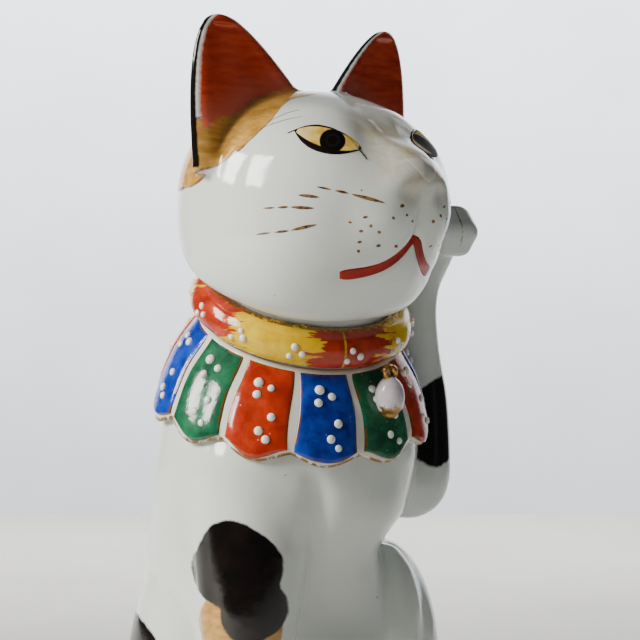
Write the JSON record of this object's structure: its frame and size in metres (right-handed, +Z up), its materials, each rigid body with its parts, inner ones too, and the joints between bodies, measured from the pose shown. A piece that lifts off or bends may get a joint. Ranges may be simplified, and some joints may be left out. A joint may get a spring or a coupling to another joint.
{
  "type": "beckoning cat figurine",
  "caption": "Hollow porcelain seated cat with one raised paw, enamelled collar, scalloped bib and small bell, on a flat foot.",
  "frame": {"origin": "on the flat foot face, below the middle of the body", "axes": "+Z up, the body faces -Y, +X is the cat's left, the raised arm's side"},
  "size_m": [0.124, 0.1465, 0.2665],
  "materials": {
    "white_glaze": "gloss",
    "black_enamel": "gloss",
    "yellow_enamel": "gloss",
    "red_enamel": "gloss",
    "blue_enamel": "gloss",
    "green_enamel": "gloss",
    "white_enamel": "gloss",
    "pearl_glaze": "gloss",
    "gilt": "satin"
  },
  "bodies": {
    "root": {"body_shell": "white_glaze", "base_disc": "white_glaze", "haunch_left": "white_glaze", "haunch_right": "white_glaze", "hind_paw_left": "white_glaze", "hind_paw_right": "white_glaze", "foreleg_right": "white_glaze", "forepaw_right": "white_glaze", "raised_arm": "white_glaze", "raised_paw": "white_glaze", "tail": "white_glaze", "head_shell": "white_glaze", "ear_left": "black_enamel", "ear_right": "black_enamel", "nose_pad": "white_glaze", "eye_left": "yellow_enamel", "eye_right": "yellow_enamel", "mouth_line": "red_enamel", "collar_band": "red_enamel", "bib_cape": "white_glaze", "bib_panel_01": "blue_enamel", "bib_panel_02": "green_enamel", "bib_panel_03": "red_enamel", "bib_panel_04": "blue_enamel", "bib_panel_05": "green_enamel", "bib_panel_06": "red_enamel", "bib_panel_07": "blue_enamel", "bib_panel_08": "green_enamel", "bib_panel_09": "red_enamel", "bib_panel_10": "blue_enamel", "bib_panel_11": "green_enamel", "bib_panel_12": "red_enamel", "enamel_dots": "white_enamel", "collar_dots": "white_enamel", "bell": "pearl_glaze", "bell_knot": "gilt"}
  },
  "joints": []
}
